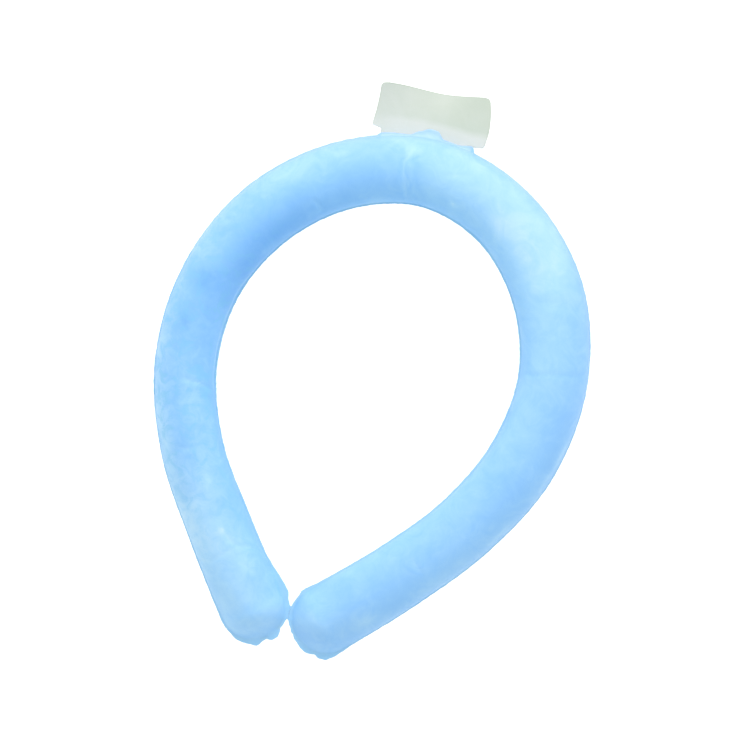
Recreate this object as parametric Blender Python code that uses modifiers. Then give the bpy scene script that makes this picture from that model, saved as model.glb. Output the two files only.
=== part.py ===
"""Cooling neck ring: a C-shaped tube of blue cooling gel, sealed between two welded plastic films,
with a flat tab at the back of the neck.

Metres, +Z up. The ring lies flat on its underside at Z = 0. The tab is at +Y, the two free ends
meet at -Y, and the origin is the bottom centre of the whole ring's box.
"""

from math import acos, cos, degrees, pi, radians, sin
from typing import NamedTuple

import bmesh
import bpy
import numpy as np

# The ring, seen from above
OPENING_WIDTH = 0.1075  # inside the ring, from side to side
OPENING_LENGTH = 0.1567  # from the line through the two end centres to the inside of the back
END_GAP = 0.0003  # between the two free ends

# The filled tube
TUBE_WIDTH = 0.0240  # across the filled tube, without its welded lips
TUBE_HEIGHT = 0.0215
REST_FLAT = 0.0004  # how much the underside gives where it rests
CAP_BLUNTNESS = 0.05  # share by which a rounded end falls short of a half circle

# The films and their welds
FILM = 0.0005  # wall of one film
SEAM_GAP = 0.0003  # between the two films, and between a film and the tab
GEL_CLEARANCE = 0.0003  # between the gel and the film around it
LIP = 0.0005  # how far the trimmed weld stands out along the tube
END_LIP = 0.0026  # the most that the ragged trim stands out at a free end

# The tab
TAB_WIDTH = 0.0412
TAB_LENGTH = 0.0178  # from the tube to the corners of the tab's free edge
TAB_THICKNESS = 0.0008  # two films fused
NECK_WIDTH = 0.0330  # where the tab is joined to the tube
TAB_SEAM = 0.0036  # the most that the tube's films lap over the tab's root
TAB_PLACE = 0.493  # share of the spine at which the tab's middle stands
TAB_SKEW = radians(2.5)  # how far the tab leans from the tube's own square
TAB_CURL = 0.0022  # how far the tab's free edge curls out of flat
TAB_EDGE_SAG = 0.0016  # how far the free edge dips between its corners

# How finely the solids are cut into facets
SPINE_STEPS = 38
DOME_STEPS = 5
GEL_STEPS = 4
TAB_COLUMNS = 13
MERGE = 1e-7
DENSE = 600  # samples along the spine where a length or a crossing is measured


class Station(NamedTuple):
    """A section of the tube on the way from the left end round the back to the right end."""

    side: float  # share of half the spine's width, + to the right
    along: float  # share of the spine's length, from the ends to the back
    width: float  # share of TUBE_WIDTH
    height: float  # share of TUBE_HEIGHT


LEFT_END = Station(side=0.0, along=-0.010, width=0.990, height=0.96)
LEFT_SIDE = (
    Station(side=-0.488, along=0.136, width=0.955, height=0.98),
    Station(side=-0.763, along=0.289, width=0.916, height=0.97),
    Station(side=-0.926, along=0.464, width=0.911, height=0.96),
    Station(side=-0.915, along=0.650, width=0.930, height=0.98),
)
BACK = (
    Station(side=-0.720, along=0.820, width=0.990, height=1.00),
    Station(side=-0.368, along=0.945, width=1.004, height=1.00),
    Station(side=0.083, along=0.999, width=1.018, height=1.00),
    Station(side=0.539, along=0.951, width=1.030, height=1.00),
    Station(side=0.881, along=0.822, width=1.066, height=1.00),
)
RIGHT_SIDE = (
    Station(side=1.042, along=0.647, width=1.026, height=1.00),
    Station(side=1.007, along=0.462, width=1.036, height=0.99),
    Station(side=0.811, along=0.293, width=1.000, height=0.98),
    Station(side=0.521, along=0.145, width=1.006, height=0.99),
)
RIGHT_END = Station(side=0.0, along=0.010, width=1.044, height=0.98)


class Trim(NamedTuple):
    """The ragged weld round a free end, read at an angle from the way the end points.
    Beyond 90 degrees the angle runs on along the tube's side."""

    angle: float  # degrees, + towards the ring's outside
    lip: float  # share of END_LIP


LEFT_TRIM = (
    Trim(angle=-150, lip=0.19),
    Trim(angle=-120, lip=0.50),
    Trim(angle=-96, lip=1.00),
    Trim(angle=-86, lip=0.62),
    Trim(angle=-66, lip=0.55),
    Trim(angle=-46, lip=0.30),
    Trim(angle=-31, lip=0.32),
    Trim(angle=-21, lip=0.74),
    Trim(angle=-11, lip=0.76),
    Trim(angle=-2, lip=0.20),
    Trim(angle=8, lip=0.36),
    Trim(angle=17, lip=0.80),
    Trim(angle=29, lip=0.47),
    Trim(angle=47, lip=0.45),
    Trim(angle=70, lip=0.16),
    Trim(angle=100, lip=0.19),
)
RIGHT_TRIM = (
    Trim(angle=-110, lip=0.19),
    Trim(angle=-84, lip=0.42),
    Trim(angle=-73, lip=0.20),
    Trim(angle=-53, lip=0.30),
    Trim(angle=-33, lip=0.41),
    Trim(angle=-16, lip=0.30),
    Trim(angle=0, lip=0.35),
    Trim(angle=15, lip=0.50),
    Trim(angle=26, lip=0.70),
    Trim(angle=36, lip=0.50),
    Trim(angle=44, lip=0.42),
    Trim(angle=51, lip=0.80),
    Trim(angle=60, lip=0.96),
    Trim(angle=72, lip=0.64),
    Trim(angle=84, lip=0.32),
    Trim(angle=110, lip=0.19),
)


class Crease(NamedTuple):
    """A shallow dent across the upper film and the gel under it."""

    along: float  # share of the spine, from the left end
    round: float  # where it is deepest: -1 inner edge, 0 top, +1 outer edge
    depth: float  # share of TUBE_HEIGHT
    length: float  # along the tube, share of TUBE_WIDTH


CREASES = (
    Crease(along=0.055, round=-0.20, depth=0.022, length=0.16),
    Crease(along=0.196, round=-0.45, depth=0.034, length=0.14),
    Crease(along=0.482, round=-0.55, depth=0.040, length=0.13),
    Crease(along=0.712, round=0.10, depth=0.026, length=0.15),
    Crease(along=0.905, round=-0.10, depth=0.020, length=0.18),
)
CREASE_WRAP = 0.55  # how far a crease reaches round the tube, as a share of a quarter turn


class TabRow(NamedTuple):
    """A line across the tab, from its left edge to its right one."""

    reach: float  # 0 on the tube's edge, 1 at the free edge
    left: float  # share of half the TAB_WIDTH
    right: float


NECK_REACH = 0.11
TAB_ROWS = (
    TabRow(reach=0.14, left=0.96, right=0.98),
    TabRow(reach=0.19, left=0.97, right=1.02),
    TabRow(reach=0.45, left=0.96, right=1.05),
    TabRow(reach=0.75, left=0.96, right=1.03),
    TabRow(reach=0.92, left=0.96, right=0.99),
    TabRow(reach=0.98, left=0.93, right=0.95),
    TabRow(reach=1.00, left=0.84, right=0.88),
)


class Lap(NamedTuple):
    """How far the tube's films lap over the tab's root, along a wavy welded edge."""

    across: float  # share of half the NECK_WIDTH, + to the right
    lap: float  # share of TAB_SEAM


LAPS = (
    Lap(across=-1.00, lap=0.36),
    Lap(across=-0.42, lap=0.18),
    Lap(across=-0.22, lap=0.60),
    Lap(across=0.00, lap=1.00),
    Lap(across=0.15, lap=0.92),
    Lap(across=0.32, lap=0.22),
    Lap(across=0.62, lap=0.18),
    Lap(across=1.00, lap=0.72),
)


class Material(NamedTuple):
    name: str
    color: tuple
    roughness: float
    alpha: float


FROSTED_FILM = Material("frosted_film", (0.66, 0.84, 0.98), 0.45, 0.55)
BLUE_GEL = Material("blue_gel", (0.28, 0.60, 0.97), 0.35, 1.0)
TAB_FILM = Material("tab_film", (0.80, 0.85, 0.81), 0.50, 0.85)


class Spoke(NamedTuple):
    """One radius of the tube's plan: from the spine straight out to the trimmed edge of the weld."""

    foot: np.ndarray  # on the spine
    out: np.ndarray  # unit vector in plan
    width: float  # from the spine to the edge of the filled tube
    height: float  # of the upper side above the weld
    lip: float  # how far the weld stands out
    part: float  # how far each film stands from the weld plane at its lip
    along: float  # share of the spine
    side: float  # +1 towards the ring's outside, -1 towards its inside


# The spine

def smooth(rows, at):
    """The Catmull-Rom curve through the rows, read at positions that count rows from 0."""
    rows = np.asarray(rows, float)
    ends = 2 * rows[0] - rows[1], 2 * rows[-1] - rows[-2]
    padded = np.vstack([ends[0], rows, ends[1]])
    first = np.clip(np.floor(at).astype(int), 0, len(rows) - 2)
    part = (at - first)[:, None]
    a, b, c, d = (padded[first + k] for k in range(4))
    return b + 0.5 * part * (c - a + part * (2 * a - 5 * b + 4 * c - d + part * (3 * (b - c) + d - a)))


def spine_rows(left_x, right_x):
    """Position, half-width and upper height of each station, with the ends at the X given."""
    half_width = OPENING_WIDTH / 2 + LIP + TUBE_WIDTH / 2
    length = OPENING_LENGTH + LIP + TUBE_WIDTH / 2
    rows = []
    for s in (LEFT_END, *LEFT_SIDE, *BACK, *RIGHT_SIDE, RIGHT_END):
        x = left_x if s is LEFT_END else right_x if s is RIGHT_END else s.side * half_width
        upper = s.height * TUBE_HEIGHT / 2
        rows.append((x, s.along * length, s.width * TUBE_WIDTH / 2, upper))
    return np.array(rows)


class Spine:
    """The tube's centreline in plan, with its sections."""

    def __init__(self, left_x, right_x):
        self.rows = spine_rows(left_x, right_x)
        self.shares = np.linspace(0, 1, DENSE)
        points = self.read(self.shares)[:, :2]
        steps = np.linalg.norm(np.diff(points, axis=0), axis=1)
        self.lengths = np.concatenate([[0.0], np.cumsum(steps)])

    def read(self, shares):
        return smooth(self.rows, np.asarray(shares, float) * (len(self.rows) - 1))

    def outward(self, shares):
        """Unit vectors in plan from the spine to the ring's outside."""
        step = 1 / DENSE
        ahead = self.read(np.minimum(np.asarray(shares) + step, 1))
        behind = self.read(np.maximum(np.asarray(shares) - step, 0))
        tangent = (ahead - behind)[:, :2]
        tangent /= np.linalg.norm(tangent, axis=1)[:, None]
        return np.stack([-tangent[:, 1], tangent[:, 0]], axis=1)

    def length_at(self, share):
        return float(np.interp(share, self.shares, self.lengths))


def cap_width(half_width, angle):
    """From an end's centre to the edge of its filled, blunt cap."""
    return half_width * (1 - CAP_BLUNTNESS * cos(angle))


def trim_lip(trims, angle):
    return END_LIP * float(np.interp(degrees(angle), [t.angle for t in trims], [t.lip for t in trims]))


def end_reach(spine, share, trims):
    """How far an end's trimmed weld reaches past its centre towards the other end, along X."""
    outward = spine.outward([share])[0]
    turn = -1 if share == 0 else 1
    ahead = turn * np.array([outward[1], -outward[0]])
    half_width = spine.read([share])[0, 2]
    towards = 1 if share == 0 else -1
    angles = np.radians(np.linspace(-90, 90, DENSE))
    reaches = [
        (cap_width(half_width, a) + trim_lip(trims, a)) * towards * (cos(a) * ahead + sin(a) * outward)[0]
        for a in angles
    ]
    return max(reaches)


def settled_spine():
    """The spine whose two ends stand END_GAP apart."""
    left_x, right_x = -TUBE_WIDTH / 2, TUBE_WIDTH / 2
    for _ in range(4):
        spine = Spine(left_x, right_x)
        left_x = -(END_GAP / 2 + end_reach(spine, 0.0, LEFT_TRIM))
        right_x = END_GAP / 2 + end_reach(spine, 1.0, RIGHT_TRIM)
    return Spine(left_x, right_x)


# The tab's own frame

class TabFrame:
    """Where the tab stands: its middle on the tube's edge, its across and its outward directions."""

    def __init__(self, spine):
        section = spine.read([TAB_PLACE])[0]
        normal = spine.outward([TAB_PLACE])[0]
        c, s = cos(TAB_SKEW), sin(TAB_SKEW)
        self.outward = np.array([c * normal[0] - s * normal[1], s * normal[0] + c * normal[1]])
        self.across = np.array([self.outward[1], -self.outward[0]])
        self.origin = section[:2] + normal * section[2]
        sections = spine.read(spine.shares)
        edge = sections[:, :2] + spine.outward(spine.shares) * sections[:, 2:3]
        local = (edge - self.origin) @ np.stack([self.across, self.outward], axis=1)
        near = (np.abs(local[:, 0]) < TAB_WIDTH) & (np.abs(local[:, 1]) < TAB_WIDTH)
        self.edge_across, self.edge_out = local[near, 0], local[near, 1]
        self.edge_shares = spine.shares[near]

    def point(self, across, out):
        return self.origin + across * self.across + out * self.outward

    def tube_edge(self, across):
        """How far out the filled tube's edge is, in line with a place across the tab."""
        return float(np.interp(across, self.edge_across, self.edge_out))

    def share_at(self, across):
        return float(np.interp(across, self.edge_across, self.edge_shares))


# Spokes round the whole tube

def station_shares(spine, tab):
    """Even steps along the spine, with more at the creases and along the tab's neck."""
    needed = {0.0, 1.0} | {tab.share_at(lap.across * NECK_WIDTH / 2) for lap in LAPS}
    for side in (-1, 1):
        needed |= {tab.share_at(side * (NECK_WIDTH / 2 + extra)) for extra in neck_steps()}
    for crease in CREASES:
        reach = crease.length * TUBE_WIDTH / spine.lengths[-1]
        needed |= {crease.along - reach, crease.along, crease.along + reach}
    nearest = 0.5 / SPINE_STEPS
    even = [s for s in np.linspace(0, 1, SPINE_STEPS + 1) if min(abs(s - n) for n in needed) > nearest]
    return sorted(needed | set(even))


def neck_steps():
    """Beside the neck the films first clear the tab's side, then close again."""
    return (2 * SEAM_GAP, 2 * SEAM_GAP + 2 * TAB_THICKNESS)


def neck_share(tab, share):
    """1 where the films lie on the tab's root, 0 away from it, and between the two where they close."""
    clear, closed = (NECK_WIDTH / 2 + extra for extra in neck_steps())
    across = abs(float(np.interp(share, tab.edge_shares, tab.edge_across, left=1, right=1)))
    return float(np.clip((closed - across) / (closed - clear), 0, 1))


def tab_lap(tab, share):
    """How far the films reach over the tab at a share of the spine."""
    across = float(np.interp(share, tab.edge_shares, tab.edge_across)) / (NECK_WIDTH / 2)
    return TAB_SEAM * float(np.interp(across, [row.across for row in LAPS], [row.lap for row in LAPS]))


def side_spoke(spine, tab, share, side):
    section = spine.read([share])[0]
    half_width = section[2]
    neck = neck_share(tab, share) if side > 0 else 0.0
    from_left = spine.length_at(share)
    from_right = spine.lengths[-1] - from_left
    trims, back = (LEFT_TRIM, from_left) if from_left < from_right else (RIGHT_TRIM, from_right)
    ragged = trim_lip(trims, side * (pi / 2 + back / half_width))
    lip = max(LIP, ragged) * (1 - neck) + tab_lap(tab, share) * neck
    part = SEAM_GAP / 2 * (1 - neck) + (TAB_THICKNESS / 2 + SEAM_GAP) * neck
    out = side * spine.outward([share])[0]
    return Spoke(section[:2], out, half_width, section[3], lip, part, share, side)


def cap_spokes(spine, share, trims, turn):
    """Spokes round a free end, from its outer side to its inner side, or back if turn is -1."""
    section = spine.read([share])[0]
    outward = spine.outward([share])[0]
    ahead = (1 if share else -1) * np.array([outward[1], -outward[0]])
    angles = [radians(t.angle) for t in trims if abs(t.angle) < 86]
    spokes = []
    for angle in sorted(angles, reverse=turn > 0):
        out = cos(angle) * ahead + sin(angle) * outward
        width = cap_width(section[2], angle)
        lip = trim_lip(trims, angle)
        spokes.append(Spoke(section[:2], out, width, section[3], lip, SEAM_GAP / 2, share, sin(angle)))
    return spokes


def all_spokes(spine, tab):
    """The loop of spokes: the outer side, the right end, the inner side and the left end."""
    shares = station_shares(spine, tab)
    outer = [side_spoke(spine, tab, share, 1) for share in shares]
    inner = [side_spoke(spine, tab, share, -1) for share in reversed(shares)]
    right = cap_spokes(spine, 1.0, RIGHT_TRIM, 1)
    left = cap_spokes(spine, 0.0, LEFT_TRIM, -1)
    return outer + right + inner + left


# Sections of the tube along a spoke

def weld_height():
    """The weld plane's height above what the ring rests on."""
    return TUBE_HEIGHT / 2 - REST_FLAT


def crease_depth(spine, spoke, turn):
    """How deep the creases are at a quarter-turn share from the top of the tube to its edge."""
    depth = 0.0
    for crease in CREASES:
        along = (spoke.along - crease.along) * spine.lengths[-1] / (crease.length * TUBE_WIDTH)
        round_ = (spoke.side * turn - crease.round) / CREASE_WRAP
        depth += crease.depth * TUBE_HEIGHT * np.exp(-(along**2) * 2 - round_**2)
    return depth


def dome(spine, spoke, upper, steps, inset, base):
    """Points of the tube's skin from over the spine to its edge, inset from the film's outer face.
    base is the height above the weld plane at which the skin meets the edge."""
    crown = (spoke.height if upper else TUBE_HEIGHT / 2) - inset - base
    flat = 0.0 if upper else acos(1 - REST_FLAT / crown) / (pi / 2)
    turns = [0.0, *np.linspace(flat, 1, steps)] if flat else np.linspace(0, 1, steps + 1)
    points = []
    for turn in turns:
        reach = (spoke.width - inset) * sin(turn * pi / 2)
        rise = base + crown * cos(max(turn, flat) * pi / 2)
        if upper:
            rise -= crease_depth(spine, spoke, turn) * cos(turn * pi / 2)
        place = spoke.foot + reach * spoke.out
        points.append((*place, weld_height() + (rise if upper else -rise)))
    return points


def film_chain(spine, spoke, upper):
    """The outer face of a film along a spoke, from over the spine to the trimmed edge of its lip."""
    face = spoke.part + FILM
    points = dome(spine, spoke, upper, DOME_STEPS, 0.0, face)
    edge = spoke.foot + (spoke.width + spoke.lip) * spoke.out
    return points + [(*edge, weld_height() + (face if upper else -face))]


def gel_chain(spine, spoke):
    """The gel's skin along a spoke, from its top over the edge to its underside."""
    inset = FILM + GEL_CLEARANCE
    over = dome(spine, spoke, True, GEL_STEPS, inset, 0.0)
    under = dome(spine, spoke, False, GEL_STEPS, inset, 0.0)
    return over + under[-2::-1]


# Meshes and objects

def loft_ring(chains, flip):
    """A mesh that joins each chain of points to the next and the last to the first."""
    mesh = bmesh.new()
    made = [[mesh.verts.new(p) for p in chain] for chain in chains]
    for a, b in zip(made, made[1:] + made[:1]):
        for i in range(len(a) - 1):
            corners = (a[i], a[i + 1], b[i + 1], b[i])
            mesh.faces.new(corners[::-1] if flip else corners)
    bmesh.ops.remove_doubles(mesh, verts=mesh.verts, dist=MERGE)
    bmesh.ops.dissolve_degenerate(mesh, edges=mesh.edges, dist=MERGE)
    return mesh


def loft_sheet(rows):
    """A mesh that joins each row of points to the next."""
    mesh = bmesh.new()
    made = [[mesh.verts.new(p) for p in row] for row in rows]
    for a, b in zip(made, made[1:]):
        for i in range(len(a) - 1):
            mesh.faces.new((a[i], a[i + 1], b[i + 1], b[i]))
    return mesh


def shader(material):
    made = bpy.data.materials.new(material.name)
    made.use_nodes = True
    inputs = made.node_tree.nodes["Principled BSDF"].inputs
    inputs["Base Color"].default_value = (*material.color, 1.0)
    inputs["Roughness"].default_value = material.roughness
    inputs["Metallic"].default_value = 0.0
    inputs["Alpha"].default_value = material.alpha
    return made


def add_object(name, mesh, material, collection):
    data = bpy.data.meshes.new(name)
    mesh.to_mesh(data)
    mesh.free()
    data.shade_smooth()
    data.materials.append(shader(material))
    obj = bpy.data.objects.new(name, data)
    collection.objects.link(obj)
    return obj


def solidify(obj, thickness, offset):
    modifier = obj.modifiers.new("thickness", "SOLIDIFY")
    modifier.thickness = thickness
    modifier.offset = offset
    modifier.use_even_offset = True
    return obj


# The pieces

def film(spine, spokes, upper, collection):
    """One of the two films: half a tube with its lip, open towards the other film."""
    chains = [film_chain(spine, spoke, upper) for spoke in spokes]
    mesh = loft_ring(chains, flip=upper)
    obj = add_object("upper_film" if upper else "lower_film", mesh, FROSTED_FILM, collection)
    return solidify(obj, FILM, -1.0)


def gel(spine, spokes, collection):
    """The gel that fills the tube between the films."""
    mesh = loft_ring([gel_chain(spine, spoke) for spoke in spokes], flip=True)
    return add_object("cooling_gel", mesh, BLUE_GEL, collection)


def tab_lift(across_share, free_share):
    """How far the tab curls out of flat: one free corner up, the middle a little down."""
    wave = -0.55 * across_share - 0.45 * cos(pi * across_share)
    return TAB_CURL * free_share**2 * wave


def tab_row(tab, reach, left, right):
    """Points across the tab between two distances from its middle line, a share of the way out."""
    points = []
    for across in np.linspace(-left, right, TAB_COLUMNS):
        share = across / (TAB_WIDTH / 2)
        joined = np.clip(across, -NECK_WIDTH / 2, NECK_WIDTH / 2)
        root = tab.tube_edge(joined) + SEAM_GAP
        free = TAB_LENGTH - TAB_EDGE_SAG * cos(pi / 2 * np.clip(share, -1, 1)) ** 2
        out = root + (free - root) * reach
        free_share = max(0.0, (out - TAB_SEAM) / (free - TAB_SEAM))
        points.append((*tab.point(across, out), weld_height() + tab_lift(share, free_share)))
    return points


def back_tab(tab, collection):
    """The flat tab, whose narrower neck lies between the two films."""
    rows = [tab_row(tab, reach, NECK_WIDTH / 2, NECK_WIDTH / 2) for reach in (0.0, NECK_REACH)]
    rows += [tab_row(tab, r.reach, r.left * TAB_WIDTH / 2, r.right * TAB_WIDTH / 2) for r in TAB_ROWS]
    mesh = loft_sheet(rows)
    obj = add_object("back_tab", mesh, TAB_FILM, collection)
    return solidify(obj, TAB_THICKNESS, 0.0)


def centre_on_origin(objects):
    """Moves the ring so that the bottom centre of its box is the origin."""
    points = np.array([corner.co for obj in objects for corner in obj.data.vertices])
    low, high = points.min(axis=0), points.max(axis=0)
    for obj in objects:
        obj.location = (-(low[0] + high[0]) / 2, -(low[1] + high[1]) / 2, 0.0)


def main():
    for obj in list(bpy.data.objects):
        bpy.data.objects.remove(obj)
    collection = bpy.data.collections.new("cooling_neck_ring")
    bpy.context.scene.collection.children.link(collection)
    spine = settled_spine()
    tab = TabFrame(spine)
    spokes = all_spokes(spine, tab)
    centre_on_origin([
        film(spine, spokes, True, collection),
        film(spine, spokes, False, collection),
        gel(spine, spokes, collection),
        back_tab(tab, collection),
    ])


main()
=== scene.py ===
"""Looks of the cooling neck ring: two frosted film skins round a cloudy blue gel, and the tab at the back.

Metres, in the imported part's frame: the ring lies flat, +Z up, its tab at +Y and its free ends at -Y.
"""

from functools import cached_property
from math import cos, pi, radians, sin
from typing import NamedTuple

import bmesh
import bpy
import numpy as np
from mathutils import Matrix, Vector, noise


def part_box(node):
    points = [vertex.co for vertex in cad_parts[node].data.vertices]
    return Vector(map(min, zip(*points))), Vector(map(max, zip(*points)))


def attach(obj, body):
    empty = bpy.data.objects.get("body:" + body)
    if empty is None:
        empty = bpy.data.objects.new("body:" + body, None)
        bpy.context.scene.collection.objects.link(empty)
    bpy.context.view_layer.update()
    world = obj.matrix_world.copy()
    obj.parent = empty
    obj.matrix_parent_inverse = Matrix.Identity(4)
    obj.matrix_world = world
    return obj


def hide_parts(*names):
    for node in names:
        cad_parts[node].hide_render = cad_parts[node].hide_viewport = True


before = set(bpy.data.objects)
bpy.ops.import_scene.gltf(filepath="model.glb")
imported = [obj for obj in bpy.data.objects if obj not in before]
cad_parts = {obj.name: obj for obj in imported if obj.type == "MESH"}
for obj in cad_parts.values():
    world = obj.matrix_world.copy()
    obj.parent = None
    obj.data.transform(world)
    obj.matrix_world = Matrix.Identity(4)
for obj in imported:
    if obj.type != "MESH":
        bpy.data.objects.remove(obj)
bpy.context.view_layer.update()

# The ring's sizes, as in the part
OPENING_WIDTH = 0.1075  # inside the ring, from side to side
OPENING_LENGTH = 0.1567  # from the line through the two end centres to the inside of the back
END_GAP = 0.0003  # between the two free ends, as the plan is laid out
TUBE_WIDTH = 0.0240  # across the filled tube, without its welded lips
TUBE_HEIGHT = 0.0215
REST_FLAT = 0.0004  # how much the underside gives where it rests
CAP_BLUNTNESS = 0.05  # share by which a rounded end falls short of a half circle
FILM = 0.0005  # wall of one film
GEL_CLEARANCE = 0.0003  # between the gel and the film around it
LIP = 0.0005  # how far the trimmed weld stands out along the tube
END_LIP = 0.0026  # the most that the ragged trim stands out at a free end
TAB_WIDTH = 0.0412
TAB_THICKNESS = 0.0008
NECK_WIDTH = 0.0330  # where the tab is joined to the tube
TAB_SEAM = 0.0036  # the most that the tube's films lap over the tab's root
TAB_PLACE = 0.493  # share of the spine at which the tab's middle stands
TAB_SKEW = radians(2.5)  # how far the tab leans from the tube's own square
TAB_CURL = 0.0022  # how far the tab's free edge curls out of flat

# The tab's form, closer to the photo than in the part
TAB_LENGTH = 0.0181
TAB_EDGE_SAG = 0.0011  # how far the free edge dips between its corners
SAG_PLACE = 0.2  # where it dips most, as a share of half the tab's width
SAG_SPAN = 0.9  # how far to either side of that place the dip reaches
TAB_TWIST = 0.55  # share of the curl that lifts one corner and drops the other
TAB_BOW = 0.45  # share of the curl that bows the middle
TAB_WAVE = 0.00022  # small waves in the free edge
TAB_WAVE_SCALE = 0.008
TAB_WALL = 0.9  # the tab's own thickness, as a share of TAB_THICKNESS
TAB_ROUNDING = 0.3  # its rounded edges, as a share of TAB_THICKNESS
NECK_LEFT = 0.0179  # the tab's root, from its middle
NECK_RIGHT = 0.0158
NECK_REACH = 0.11  # how far out the narrow root goes, as a share of the tab's length
BODY_REACH = 0.14  # from where on it has its full width
ROOT_GAP = 0.0003  # between the tube's edge and the start of the root
TAB_LEAN = 0.05  # how much further out its lower edge stands at its left, as a share of its length

# What only shows close up
FLANGE = 0.00042  # half the thickness of the pressed weld
HAIRLINE = 0.00003  # half the gap between the two pressed films
FILLET_SHARE = 0.70  # how much of the lip the skin's curve into it takes up
FILLET_MOST = 0.0026  # metres, the most
PILLOW = 1.7  # how much the free ends taper to their weld like a pillow's; 0 is a round end
PILLOW_SIDE = 1.0  # the same at the ends' sides
PILLOW_LENGTH = 0.017  # how far up the tube that goes
TOUCH_GAP = 0.00002  # between the two ends where they press together
TOUCH = (-0.0020, 0.0034)  # how far in front of and behind the spine's ends they do
TOUCH_FADE = 0.0004
NECK_CLOSE = 0.0006  # how soon the films meet again beside the tab's root
TRIM_NOISE = 0.00016  # how ragged the trimmed edge is along the tube
TRIM_SCALE = 0.0016
END_TRIM_NOISE = 0.00030  # and round the free ends
END_TRIM_SCALE = 0.0014
LIP_LEAST = 0.0003
LUMPS = ((0.026, 11, 0.00034), (0.009, 12, 0.00010))  # soft lumps: their spacing, seed and height
PUCKER = 0.00018  # fine puckers along the weld
PUCKER_SCALE = 0.0032
PUCKER_STRETCH = 0.2  # share of the height at which their noise is read: they run up and down
PUCKER_FROM = 0.55  # how far down the tube they start, as a share of a quarter turn
PUCKER_INNER = 0.2  # how much stronger they are on the ring's inside than on top
PUCKER_END = 0.6  # and at the free ends
RELIEF_FADE = 0.08  # how soon the relief dies out at the weld, as a share of a quarter turn
REST_EDGE = 0.0001  # no relief lower than this over the surface that the ring rests on
REST_FADE = 0.003  # how soon it is full above that

# How fine the meshes are
SPINE_STEPS = 560
CAP_STEPS = 72
DOME_STEPS = 24
FILLET_STEPS = 4
GEL_SPINE_STEPS = 200
GEL_CAP_STEPS = 24
GEL_DOME_STEPS = 12
TAB_COLUMNS = 72
TAB_ROOT_ROWS = 6
TAB_BODY_ROWS = 34
TAB_BODY_END = 0.90  # share of the tab's length
TAB_EDGE_ROWS = 12  # closer together, for the free edge's round corners
TAB_EDGE_START = 0.91
MERGE = 1e-7  # points nearer than this are one
DENSE = 900  # samples along the spine where a length or a crossing is measured

WELD = TUBE_HEIGHT / 2 - REST_FLAT  # the weld plane's height


class Station(NamedTuple):
    """A section of the tube on the way from the left end round the back to the right end."""

    side: float  # share of half the spine's width, + to the right
    along: float  # share of the spine's length, from the ends to the back
    width: float  # share of TUBE_WIDTH
    height: float  # share of TUBE_HEIGHT


STATIONS = (
    Station(side=0.0, along=-0.010, width=0.990, height=0.96),
    Station(side=-0.488, along=0.136, width=0.955, height=0.98),
    Station(side=-0.763, along=0.289, width=0.916, height=0.97),
    Station(side=-0.926, along=0.464, width=0.911, height=0.96),
    Station(side=-0.915, along=0.650, width=0.930, height=0.98),
    Station(side=-0.720, along=0.820, width=0.990, height=1.00),
    Station(side=-0.368, along=0.945, width=1.004, height=1.00),
    Station(side=0.083, along=0.999, width=1.018, height=1.00),
    Station(side=0.539, along=0.951, width=1.030, height=1.00),
    Station(side=0.881, along=0.822, width=1.066, height=1.00),
    Station(side=1.042, along=0.647, width=1.026, height=1.00),
    Station(side=1.007, along=0.462, width=1.036, height=0.99),
    Station(side=0.811, along=0.293, width=1.000, height=0.98),
    Station(side=0.521, along=0.145, width=1.006, height=0.99),
    Station(side=0.0, along=0.010, width=1.044, height=0.98),
)

# The ragged weld round each free end: angle from the way the end points, + towards the ring's
# outside, and the share of END_LIP that stands out there
LEFT_TRIM = (
    (-175, 0.19), (-150, 0.42), (-130, 0.68), (-112, 0.86), (-96, 1.00), (-86, 0.62), (-66, 0.55),
    (-46, 0.30), (-31, 0.32), (-21, 0.74), (-11, 0.76), (-2, 0.20), (8, 0.36), (17, 0.80),
    (29, 0.47), (47, 0.45), (70, 0.16), (100, 0.19),
)
RIGHT_TRIM = (
    (-110, 0.19), (-84, 0.42), (-73, 0.20), (-53, 0.30), (-33, 0.41), (-16, 0.30), (0, 0.35), (15, 0.50),
    (26, 0.70), (36, 0.50), (44, 0.42), (51, 0.80), (60, 0.96), (72, 0.64), (84, 0.32), (110, 0.19),
)

# The wavy edge of the films over the tab's root: share of half the NECK_WIDTH, and share of TAB_SEAM
LAPS = (
    (-1.0, 0.36), (-0.42, 0.18), (-0.22, 0.60), (0.0, 1.0), (0.15, 0.92), (0.32, 0.22), (0.62, 0.18),
    (1.0, 0.72),
)

# The pressed lip's section, from the foot of the skin's curve to the trimmed edge and back underneath:
# share of the way out, and share of the FLANGE
LIP_PROFILE = ((0.45, 0.98), (0.85, 0.90), (0.97, 0.66), (1.0, 0.30), (0.985, 0.0), (0.2, 0.0))


class TabRow(NamedTuple):
    """A line across the tab."""

    reach: float  # how far out, as a share of the tab's length
    left: float  # its left and right edges, as shares of half the TAB_WIDTH
    right: float


TAB_ROWS = (
    TabRow(reach=BODY_REACH, left=1.02, right=0.97),
    TabRow(reach=0.19, left=1.03, right=1.00),
    TabRow(reach=0.45, left=1.00, right=1.035),
    TabRow(reach=0.75, left=0.98, right=1.02),
    TabRow(reach=0.92, left=0.975, right=0.985),
    TabRow(reach=0.98, left=0.94, right=0.95),
    TabRow(reach=1.0, left=0.84, right=0.88),
)


class Mark(NamedTuple):
    """A fold or a streak. Its points are (share of the spine, share of the half-width as seen from
    above), where the second is -1 on the inner edge, 0 on top and +1 on the outer edge."""

    points: tuple
    depth: float  # of the fold in the film, metres
    width: float
    tone: float  # of the streak along it, + pale, - deep


MM = 0.001

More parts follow.
